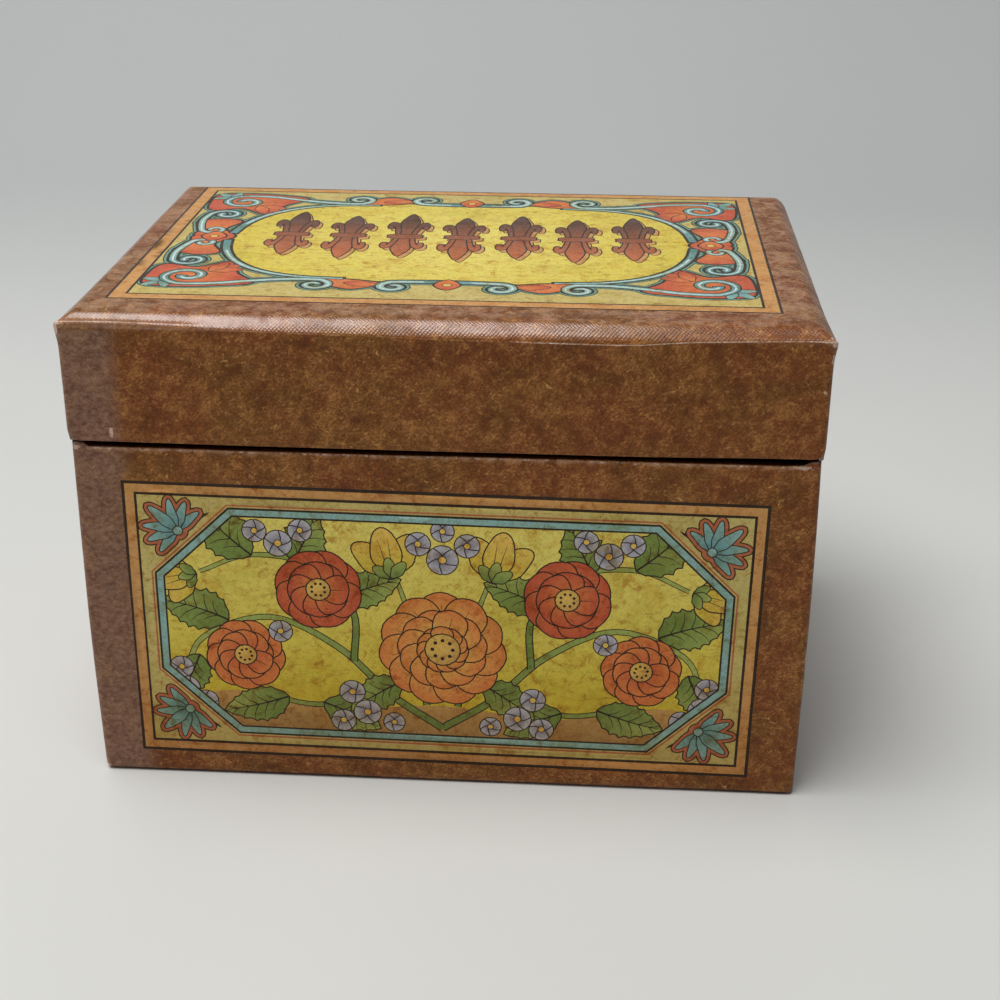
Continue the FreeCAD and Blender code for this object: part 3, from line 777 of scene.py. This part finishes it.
def base_wander(p):
    """Waves, walls that belly and an uneven front rim."""
    move = 0.09 * hills(p, 30, 1.3) + 0.03 * hills(p, 6, 5.9)
    (x, y, z), (dx, dy, dz) = p.T, move.T
    belly = np.sin(pi * np.clip((z - FOOT_LEVEL) / (SEAT - FOOT_LEVEL), 0, 1))
    dx += np.sign(x) * ease(np.abs(x), 48, 68.2) * belly * 0.42
    dy -= ease(-y, 30, 48.5) * belly * bell_curve(x, 6, 46) * 0.22
    dz *= 1 - ease(z, 60, 69)
    rim_line = ease(z, FRONT_SEAT - 1.2, FRONT_SEAT - 0.2) * ease(-y, 40, 46) * ease(-np.abs(x), -64, -60)
    dz += rim_line * (0.06 * np.sin(x / 13.0) + 0.03 * np.sin(x / 4.1 + 1) - 0.03)
    dy[:] = np.where(y > NEAR_BACK, np.minimum(dy, 0.0) * 0.3, dy)
    return on_board(p, move, HEIGHT)


def base_wear_and_highlight(p):
    _, y, z = p.T
    inward = depths(p, BASE_HALF)
    depth = np.minimum(*inward)
    upright = np.exp(-np.hypot(*inward) / 0.9)
    top = np.where((y < -40) & (inward[0] > 2.4), FRONT_SEAT, SEAT)
    # The rim line partly paints a highlight along the rim's outer edge.
    rim_line = ease(z, top - 0.56, top - 0.34) * (1 - 0.7 * (depth > 0.2)) * (depth < 0.3)
    foot = np.exp(-(z - FOOT_LEVEL) / 0.6)
    return np.clip(0.5 * upright + 0.66 * rim_line + 0.4 * foot, 0, 1)


def base_cover():
    shell, front = Shell(), 136
    stack, top_ring, bottom_ring = base_stack(levels(BASE_HALF, 0.0, (front, 97, 4)))
    shell.rings(stack, lambda k: top_ring <= k < bottom_ring, front)
    rows = [points for points, _ in stack[top_ring:bottom_ring + 1]]
    left, right = [row[0] for row in rows], [row[front] for row in rows]
    edge = np.array([*rows[0][1:front], *right, *rows[-1][1:front][::-1], *left[::-1]])[:, (0, 2)]
    panel = printed_panel(edge, front_print(), FRONT_PRINT_CENTRE, FRONT_PRINT_TURN, 2.2)
    shell.panel(*panel, lambda flat: np.stack([flat[:, 0], np.full(len(flat), -BASE_HALF[1]), flat[:, 1]], 1))
    return shell.finish("base_cover", base_wander, base_wear_and_highlight)


def strip(name, half_w, low, high, outer_y, margin_drop, groove):
    """Thin sheet glued over the back of the joint; its margins lie lower, its middle dips into the gap."""
    columns = np.linspace(-half_w, half_w, 90)
    rows = np.concatenate([np.linspace(low, SEAT - 2, 12), np.linspace(SEAT - 1.6, SEAT + 1.6, 13),
                           np.linspace(SEAT + 2, high, 12)])
    shell = Shell()
    grid = np.array([(x, z) for z in rows for x in columns])
    x, z = grid.T
    edge = np.minimum(np.minimum(z - low, high - z), half_w - np.abs(x))
    uneven = 0.03 * np.array([noise.noise(Vector((a / 5.0, b / 5.0, 7.3))) for a, b in grid])
    dip = groove * bell_curve(z, SEAT, 0.55)
    outer = outer_y - margin_drop * (1 - ease(edge, 1.0, 3.0)) - dip - np.abs(uneven)
    inner = outer - SKIN + 0.04
    outer = np.where(edge < 0.01, outer - 0.5 * SKIN, outer)
    out, back = (shell.add(np.stack([x, y, z], 1), 0) for y in (outer, inner))
    n, m = len(columns), len(rows)
    for j in range(m - 1):
        for a in range(j * n, j * n + n - 1):
            face = (a + 1, a, a + n, a + n + 1)
            shell.bare([tuple(out + k for k in face), tuple(back + face[k] for k in (1, 0, 3, 2))])
    border = [*range(n), *range(2 * n - 1, m * n, n), *range(m * n - 2, (m - 1) * n - 1, -1),
              *range((m - 2) * n, 0, -n)]
    shell.bare([(out + a, out + b, back + b, back + a) for a, b in zip(border, border[1:] + border[:1])])
    return shell.finish(name, np.zeros_like, lambda p: np.zeros(len(p)))


# ---- materials ----


class Nodes:
    """Short forms for building a node material whose coordinates are millimetres on the object."""

    def __init__(self, name):
        self.material = bpy.data.materials.new(name)
        self.material.use_nodes = True
        self.tree = self.material.node_tree
        self.tree.nodes.clear()
        place = self.add("ShaderNodeTexCoord").outputs["Object"]
        self.mm = self.add("ShaderNodeMapping", Vector=place, Scale=(1000, 1000, 1000)).outputs[0]
        self.x, self.y, self.z = self.add("ShaderNodeSeparateXYZ", Vector=self.mm).outputs

    def add(self, kind, settings=None, **inputs):
        node = self.tree.nodes.new(kind)
        for key, value in (settings or {}).items():
            setattr(node, key, value)
        for key, value in inputs.items():
            self.put(node.inputs[key.replace("_", " ")], value)
        return node

    def put(self, socket, value):
        if isinstance(value, bpy.types.NodeSocket):
            self.tree.links.new(value, socket)
        else:
            socket.default_value = value

    def noise(self, size, detail, rough, twist=0.0, stretch=(1, 1, 1), seed=0.0):
        place = self.add("ShaderNodeMapping", Vector=self.mm, Scale=stretch, Location=(seed, seed, -seed))
        return self.add("ShaderNodeTexNoise", Vector=place.outputs[0], Scale=1 / size, Detail=detail,
                        Roughness=rough, Distortion=twist).outputs["Fac"]

    def fibres(self, size, length, tilt, seed):
        """Streaks running slantwise over every face, a few times longer than wide."""
        place = self.add("ShaderNodeMapping", {"vector_type": "TEXTURE"}, Vector=self.mm, Rotation=tilt,
                         Scale=(size, size, size * length), Location=(seed, seed, seed))
        return self.add("ShaderNodeTexNoise", Vector=place.outputs[0], Scale=1.0, Detail=3.0, Roughness=0.6,
                        Distortion=0.4).outputs["Fac"]

    def calc(self, operation, a, b=0.0):
        node = self.add("ShaderNodeMath", {"operation": operation})
        self.put(node.inputs[0], a)
        self.put(node.inputs[1], b)
        return node.outputs[0]

    def times(self, *factors):
        return functools.reduce(lambda a, b: self.calc("MULTIPLY", a, b), factors)

    def plus(self, *terms):
        return functools.reduce(lambda a, b: self.calc("ADD", a, b), terms)

    def minus(self, a, b):
        return self.calc("SUBTRACT", a, b)

    def span(self, value, low, high, start=0.0, end=1.0):
        """Start up to low and end from high, with a smooth step between."""
        return self.add("ShaderNodeMapRange", {"interpolation_type": "SMOOTHSTEP"}, Value=value, From_Min=low,
                        From_Max=high, To_Min=start, To_Max=end).outputs[0]

    def mix(self, share, a, b, way="MIX"):
        node = self.add("ShaderNodeMix", {"data_type": "RGBA", "blend_type": way})
        self.put(node.inputs[0], share)
        self.put(node.inputs[6], colour(a))
        self.put(node.inputs[7], colour(b))
        return node.outputs[2]

    def bump(self, height, depth, normal=None):
        node = self.add("ShaderNodeBump", Height=height, Strength=1.0, Distance=depth * MM)
        if normal is not None:
            self.put(node.inputs["Normal"], normal)
        return node.outputs[0]

    def surface(self, base, roughness, normal, **plain):
        shader = self.add("ShaderNodeBsdfPrincipled", Base_Color=colour(base), Roughness=roughness,
                          Normal=normal, **plain)
        self.add("ShaderNodeOutputMaterial", Surface=shader.outputs[0])
        return self.material


def colour(value):
    """An sRGB triple becomes a linear one with alpha; a socket passes."""
    if isinstance(value, tuple) and len(value) == 3:
        return (*linear(value), 1.0)
    return value


def leather_print(n):
    """Brown leather-like print with golden fibres, pale flecks and a fine grain; and its mottling."""
    cloud = n.noise(15, 3, 0.6, 0.4)
    mottle = n.noise(4.6, 9, 0.72, 0.25)
    clump = n.noise(1.9, 6, 0.75, 0.6, seed=5)
    ground = n.mix(n.span(cloud, 0.38, 0.62), (132, 72, 32), (126, 79, 31))
    for patch, low, high, share, tint in (
            (mottle, 0.49, 0.34, 0.65, (88, 44, 16)), (mottle, 0.50, 0.68, 0.65, (178, 120, 60)),
            (clump, 0.46, 0.30, 0.5, (84, 42, 18)), (clump, 0.50, 0.70, 0.6, (188, 128, 70))):
        ground = n.mix(n.span(patch, low, high, 0, share), ground, tint)
    light = n.span(n.plus(mottle, clump), 0.86, 1.16, 0.05, 1)
    for tilt, seed in (((0.5, 0.7, 0.9), 0.0), ((-0.8, 0.9, -0.4), 9.0), ((0.2, 1.5, 0.3), 17.0)):
        streak = n.span(n.fibres(0.34, 5.0, tilt, seed), 0.54, 0.70, 0, 0.72)
        ground = n.mix(n.times(streak, light), ground, (204, 144, 84))
    fleck = n.span(n.noise(1.5, 4, 0.6, 0.9, seed=7), 0.62, 0.72, 0, 0.8)
    ground = n.mix(n.times(fleck, n.span(cloud, 0.44, 0.56, 0.3, 1)), ground, (224, 168, 102))
    return n.mix(n.span(n.noise(0.5, 3, 0.7), 0.40, 0.66, 0.0, 0.55), ground, (70, 32, 14)), mottle


def painted_front_reflection(n, ground, mottle):
    """Painted reflection: a greyed, paler ground at the left of the front faces."""
    facing, below_crease = n.span(n.y, -47.6, -48.3), n.span(n.z, CREASE + 0.4, CREASE - 0.6)
    edge = n.plus(n.x, n.times(n.minus(mottle, 0.5), 3.0))
    # Painted reflection: a strip at the left end of the front faces, below the crease.
    reflected_strip = n.times(facing, below_crease, n.span(edge, -56.6, -61.0))
    flakes = n.span(n.noise(0.9, 6, 0.85, 0.4, (0.7, 1, 1), 91), 0.36, 0.64)
    return n.mix(n.times(reflected_strip, 0.68), ground, n.mix(flakes, (94, 66, 57), (162, 129, 109)))


def lid_polish_and_sheen(n, ground, mottle):
    """Painted sheen on the top, and on the rolled edge, handled most, a polish with a painted highlight."""
    polish = n.times(n.span(n.z, CREASE - 0.1, CREASE + 0.5), n.span(n.z, HEIGHT - 0.08, HEIGHT - 0.6),
                     n.span(n.noise(5, 3, 0.6, seed=71), 0.36, 0.58, 0.45, 1),
                     n.span(n.plus(n.x, n.times(mottle, 8.0)), 28, 46, 1, 0.25))
    # Painted highlight: the rolled edge's colour paled where it is polished, less towards the right.
    ground = n.mix(n.times(polish, 0.18), ground, (222, 164, 134))
    # Painted sheen: the top's colour paled in patches.
    top_sheen = n.span(n.plus(mottle, n.noise(2.5, 5, 0.7)), 0.88, 1.12, 0, 0.14)
    on_top = n.span(n.z, HEIGHT - 0.5, HEIGHT - 0.1)
    return n.mix(n.times(on_top, top_sheen), ground, (226, 200, 176)), polish


def stained_and_shaded_ink(n, ink):
    """Inks with stains of several sizes, and painted shade: darker and browner towards the bottom."""
    for size, seed, low, high, share, tint in (
            (5.0, 31, 0.46, 0.70, 0.7, (232, 208, 158)), (0.8, 13, 0.44, 0.70, 0.6, (206, 190, 158)),
            (2.4, 83, 0.52, 0.68, 0.8, (212, 168, 108)), (9.0, 43, 0.50, 0.66, 0.5, (222, 224, 180))):
        stain = n.span(n.noise(size, 6, 0.7, 0.5, seed=seed), low, high, 0, share)
        ink = n.mix(stain, ink, tint, "MULTIPLY")
    smear = n.span(n.noise(1.3, 6, 0.75, 0.5, (0.3, 1, 1), 37), 0.56, 0.67, 0, 0.6)
    ink = n.mix(smear, ink, (192, 156, 104), "MULTIPLY")
    # Painted shade: the inks darker and browner towards the bottom.
    return n.mix(n.span(n.z, 34, 8, 0, 0.5), ink, (224, 196, 160), "MULTIPLY")


def chip(n, centre, reach):
    """One inside a chip's ragged outline."""
    away = n.plus(*(n.calc("POWER", n.calc("DIVIDE", n.minus(place, middle), size), 2.0)
                    for place, middle, size in zip((n.x, n.z, n.y), centre, reach)))
    ragged = n.times(n.minus(n.noise(0.7, 3, 0.7, 0.5, seed=centre[0]), 0.5), 3.4)
    return n.span(n.plus(n.calc("SQRT", away), ragged), 1.0, 0.8)


def worn_paper(n, shade, chips):
    """Bare fibre where edges are rubbed or chipped, and how much of it shows."""
    rubbed = n.add("ShaderNodeAttribute", {"attribute_name": "rubbed"}).outputs["Fac"]
    tear = n.noise(1.1, 5, 0.75, 0.8, seed=17)
    lost = n.span(n.plus(n.times(rubbed, 0.62), n.times(tear, 0.8)), 0.78, 0.92)
    for x, y, z, reach_x, reach_z, strength in chips:
        gone = chip(n, (x, z, y), (reach_x, reach_z, CHIP_DEPTH))
        lost = n.calc("MAXIMUM", lost, n.times(gone, strength))
    fibre = n.mix(n.noise(0.4, 3, 0.7), (190, 146, 122), (238, 216, 198))
    # Paler along rubbed edges: wear, and a painted highlight along the crease and the base's rim edge.
    rub_and_highlight = n.times(n.span(rubbed, 0.25, 0.7, 0, 0.5), n.span(n.noise(2.4, 5, 0.7, seed=23), 0.36, 0.64))
    shade = n.mix(lost, n.mix(rub_and_highlight, shade, (210, 166, 128)), fibre)
    scuff = n.times(n.span(n.noise(1.6, 4, 0.7, 0.3, (0.25, 1, 1), 51), 0.66, 0.72), 0.10)
    return n.mix(scuff, shade, (214, 190, 160)), lost


def seam_shaded(n, shade, seam):
    """Painted shade in the seam under the lid and on the rim: the paper darkened there."""
    inward = n.calc("MINIMUM", *(n.minus(BASE_HALF[axis] - 0.15, n.calc("ABSOLUTE", place))
                                 for axis, place in ((1, n.y), (0, n.x))))
    seam_shade = n.times(n.span(inward, 0.0, 0.2), n.span(n.z, seam - 0.5, seam - 0.1))
    # Painted shade also on the rim's top all round, along the seam.
    seam_shade = n.calc("MAXIMUM", seam_shade, n.span(n.z, SEAT - 0.6, SEAT - 0.2))
    return n.mix(n.times(seam_shade, 0.6), shade, (50, 22, 12))


def emboss(n, mottle, lost):
    """Fine diagonal emboss, the paper's fibres, a slack from the glue, and the chips."""
    slack = n.times(n.noise(1.6, 2, 0.5, seed=61), 0.9)
    along, up = n.plus(n.x, n.times(n.y, 0.25), slack), n.plus(n.y, n.z, slack)
    waves = [n.calc("SINE", n.times(place, 2 * pi / pitch))
             for place, pitch in ((along, 0.72), (up, 1.02))]
    weave = n.times(*waves, n.span(n.plus(n.x, n.times(mottle, 12.0)), -50, -16, 0.45, 1))
    normal = n.bump(mottle, 0.03, n.bump(weave, 0.024))
    return n.bump(lost, -0.06, n.bump(n.noise(5, 3, 0.5), 0.06, normal))


def cover_material(name, chips, seam=None):
    """The covers' printed paper. The base's has a seam, at a height; the lid's has a polish."""
    n = Nodes(name)
    ground, mottle = leather_print(n)
    ground = painted_front_reflection(n, ground, mottle)
    polish, coat = 0.0, {}
    if not seam:
        # Painted sheen on the top and painted highlight on the rolled edge, besides the polish's gloss.
        ground, polish = lid_polish_and_sheen(n, ground, mottle)
        coat = {"Coat_Weight": n.times(polish, 0.8), "Coat_Roughness": 0.24, "Coat_IOR": 1.65}
    printed = n.add("ShaderNodeVertexColor", {"layer_name": "printed"})
    shade = n.mix(printed.outputs[1], ground, stained_and_shaded_ink(n, printed.outputs[0]))
    shade, lost = worn_paper(n, shade, chips)
    if seam:
        # Painted shade in the seam and on the rim's top.
        shade = seam_shaded(n, shade, seam)
    normal = emboss(n, mottle, lost)
    gloss = n.minus(n.span(mottle, 0.34, 0.66, 0.46, 0.33), n.times(polish, 0.10))
    return n.surface(shade, n.plus(gloss, n.times(lost, 0.4)), normal, Specular_IOR_Level=0.24,
                     Specular_Tint=(1.0, 0.84, 0.74, 1.0), Coat_Normal=normal, **coat)


def board_material():
    n = Nodes("chipboard")
    shade = n.mix(n.noise(0.5, 4, 0.7), (122, 108, 90), (168, 152, 130))
    shade = n.mix(n.span(n.noise(0.9, 3, 0.7, 0.5, (1, 1, 2.4), 5), 0.62, 0.72, 0, 0.6), shade, (92, 80, 68))
    return n.surface(shade, 0.9, n.bump(n.noise(0.4, 4, 0.7), 0.08))


def kraft_material():
    n = Nodes("stay_paper")
    shade = n.mix(n.noise(0.8, 4, 0.7, 0.4, (1, 1, 0.5)), (150, 118, 82), (186, 154, 112))
    return n.surface(shade, 0.75, n.bump(n.noise(0.6, 4, 0.7), 0.04))


def lining_material():
    n = Nodes("lining_paper")
    shade = n.mix(n.span(n.noise(18, 4, 0.6, 0.5), 0.35, 0.7), (220, 210, 186), (210, 197, 168))
    foxing = n.span(n.noise(0.7, 4, 0.75, 0.6, (1, 0.6, 1), 3), 0.6, 0.8, 0, 0.25)
    spot = n.span(n.noise(1.7, 2, 0.5, seed=8), 0.72, 0.78, 0, 0.5)
    shade = n.mix(spot, n.mix(foxing, shade, (184, 166, 132)), (158, 118, 74))
    return n.surface(shade, 0.7, n.bump(n.noise(0.35, 3, 0.7), 0.03))


def foot_material():
    n = Nodes("foot_paper")
    shade = n.mix(n.noise(0.9, 5, 0.7, 0.6), (70, 56, 46), (98, 80, 64))
    rub = n.span(n.noise(6, 5, 0.7, 0.8, seed=2), 0.55, 0.75, 0, 0.4)
    return n.surface(n.mix(rub, shade, (142, 124, 102)), 0.72, n.bump(n.noise(0.4, 3, 0.7), 0.04))


def strip_material():
    n = Nodes("hinge_paper")
    ground, _ = leather_print(n)
    on_fold = n.span(n.calc("ABSOLUTE", n.minus(n.z, SEAT)), 0.9, 0.1)
    crease = n.times(on_fold, n.span(n.noise(1.4, 4, 0.7, seed=6), 0.40, 0.62))
    shade = n.mix(n.times(crease, 0.6), ground, (204, 184, 158))
    return n.surface(shade, 0.5, n.bump(n.noise(2.5, 4, 0.6), 0.08))


def cloth_material():
    n = Nodes("hinge_cloth")
    weave = n.times(*(n.calc("SINE", n.times(place, 12.0)) for place in (n.x, n.z)))
    shade = n.mix(n.span(weave, -1, 1, 0, 1), (152, 138, 112), (196, 184, 158))
    return n.surface(shade, 0.85, n.bump(weave, 0.05))


def floor_material():
    n = Nodes("floor")
    # Painted shade: the floor darker from behind the box towards the backdrop.
    shade = n.mix(n.span(n.y, 60, 460), (220, 220, 216), (200, 202, 201))
    shade = n.mix(n.span(n.noise(160, 2, 0.5), 0.4, 0.7, 0, 0.25), shade, (206, 207, 205))
    return n.surface(shade, 0.7, n.bump(n.noise(1.2, 3, 0.6), 0.02))


# ---- scene ----


def build_stage():
    """Pale floor that sweeps up into a backdrop."""
    half, front, turn, radius, top = 1600.0, -1400.0, 420.0, 260.0, 1500.0
    profile = [(y, 0.0) for y in (front, *np.linspace(-600, turn, 9))]
    profile += [(turn + radius * sin(a), radius - radius * cos(a)) for a in np.linspace(0.1, pi / 2, 16)]
    profile.append((turn + radius, top))
    columns = np.linspace(-half, half, 17)
    points = [(x * MM, y * MM, z * MM) for y, z in profile for x in columns]
    n = len(columns)
    faces = [(a, a + 1, a + n + 1, a + n)
             for j in range(len(profile) - 1) for a in range(j * n, j * n + n - 1)]
    mesh = bpy.data.meshes.new("floor")
    mesh.from_pydata(points, [], faces)
    for face in mesh.polygons:
        face.use_smooth = True
    mesh.materials.append(floor_material())
    floor = add_object("floor", mesh)


def build_light():
    """One large lamp overhead and a faint even light from all round."""
    world = bpy.data.worlds.new("studio")
    world.use_nodes = True
    background = world.node_tree.nodes["Background"]
    background.inputs[0].default_value = (0.97, 0.985, 1.0, 1)
    background.inputs[1].default_value = 0.13
    bpy.context.scene.world = world
    data = bpy.data.lights.new("overhead", "AREA")
    data.shape, data.size, data.size_y, data.energy = "RECTANGLE", 0.80, 0.68, 10.9
    lamp = add_object("overhead", data)
    lamp.location = (-0.24, -0.19, 1.03)
    aim = Vector((0, 0, 0.05))
    lamp.rotation_euler = (aim - lamp.location).to_track_quat("-Z", "Y").to_euler()


def build_camera():
    """The photograph's camera, from the corners of the box in it."""
    data = bpy.data.cameras.new("camera")
    data.lens, data.sensor_width = 60.14, 36.0
    camera = add_object("camera", data)
    turn = Matrix(((0.99801, -0.02952, 0.0557), (0.06291, 0.41031, -0.90978), (0.00401, 0.91147, 0.41135)))
    camera.matrix_world = Matrix.Translation((0.02757, -0.32594, 0.1871)) @ turn.to_4x4()
    bpy.context.scene.camera = camera


bpy.context.scene.view_settings.view_transform = "Standard"
build_camera()
build_stage()
build_light()

# Chips: the middle, the reach along x and z, and how much of the paper is gone.
lid_chips = ((-68.9, -48.7, 93.6, 1.0, 2.2, 1.0), (-60.3, -49.0, 73.2, 0.45, 0.9, 0.9),
             (67.5, -49.0, 84.3, 0.35, 0.3, 0.8), (68.6, -48.8, 90.2, 0.45, 0.8, 0.8),
             (68.4, -48.6, 93.2, 1.0, 0.9, 0.9))
base_chips = ((65.2, -48.5, 69.7, 2.2, 0.35, 0.7), (-67.6, -48.5, 69.8, 0.8, 0.5, 0.8),
              (-67.9, -48.4, 1.2, 0.7, 0.9, 0.8))
lid = lid_cover()
lid.data.materials.append(cover_material("cover_lid", lid_chips))
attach(lid, "lid")
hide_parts("lid_wrap")
base = base_cover()
base.data.materials.append(cover_material("cover_base", base_chips, FRONT_SEAT))
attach(base, "base")
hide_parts("base_wrap")

for name, node, look, sizes in (
        ("hinge_strip_paper", "hinge_strip", strip_material, (66.5, 54.0, 84.0, 49.0, 0.22, 0.14)),
        ("hinge_strip_cloth", "hinge_cloth", cloth_material, (64.5, 56.0, 82.0, 48.74, 0.0, 0.14))):
    piece = strip(name, *sizes)
    piece.data.materials.append(look())
    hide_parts(node)
    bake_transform(piece)

for part, look in (("_tray", board_material), ("_stay_", kraft_material), ("_liner", lining_material),
                   ("_bottom_sheet", foot_material)):
    material = look()
    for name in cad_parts:
        if part in name:
            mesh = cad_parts[name].data
            mesh.materials.clear()
            mesh.materials.append(material)
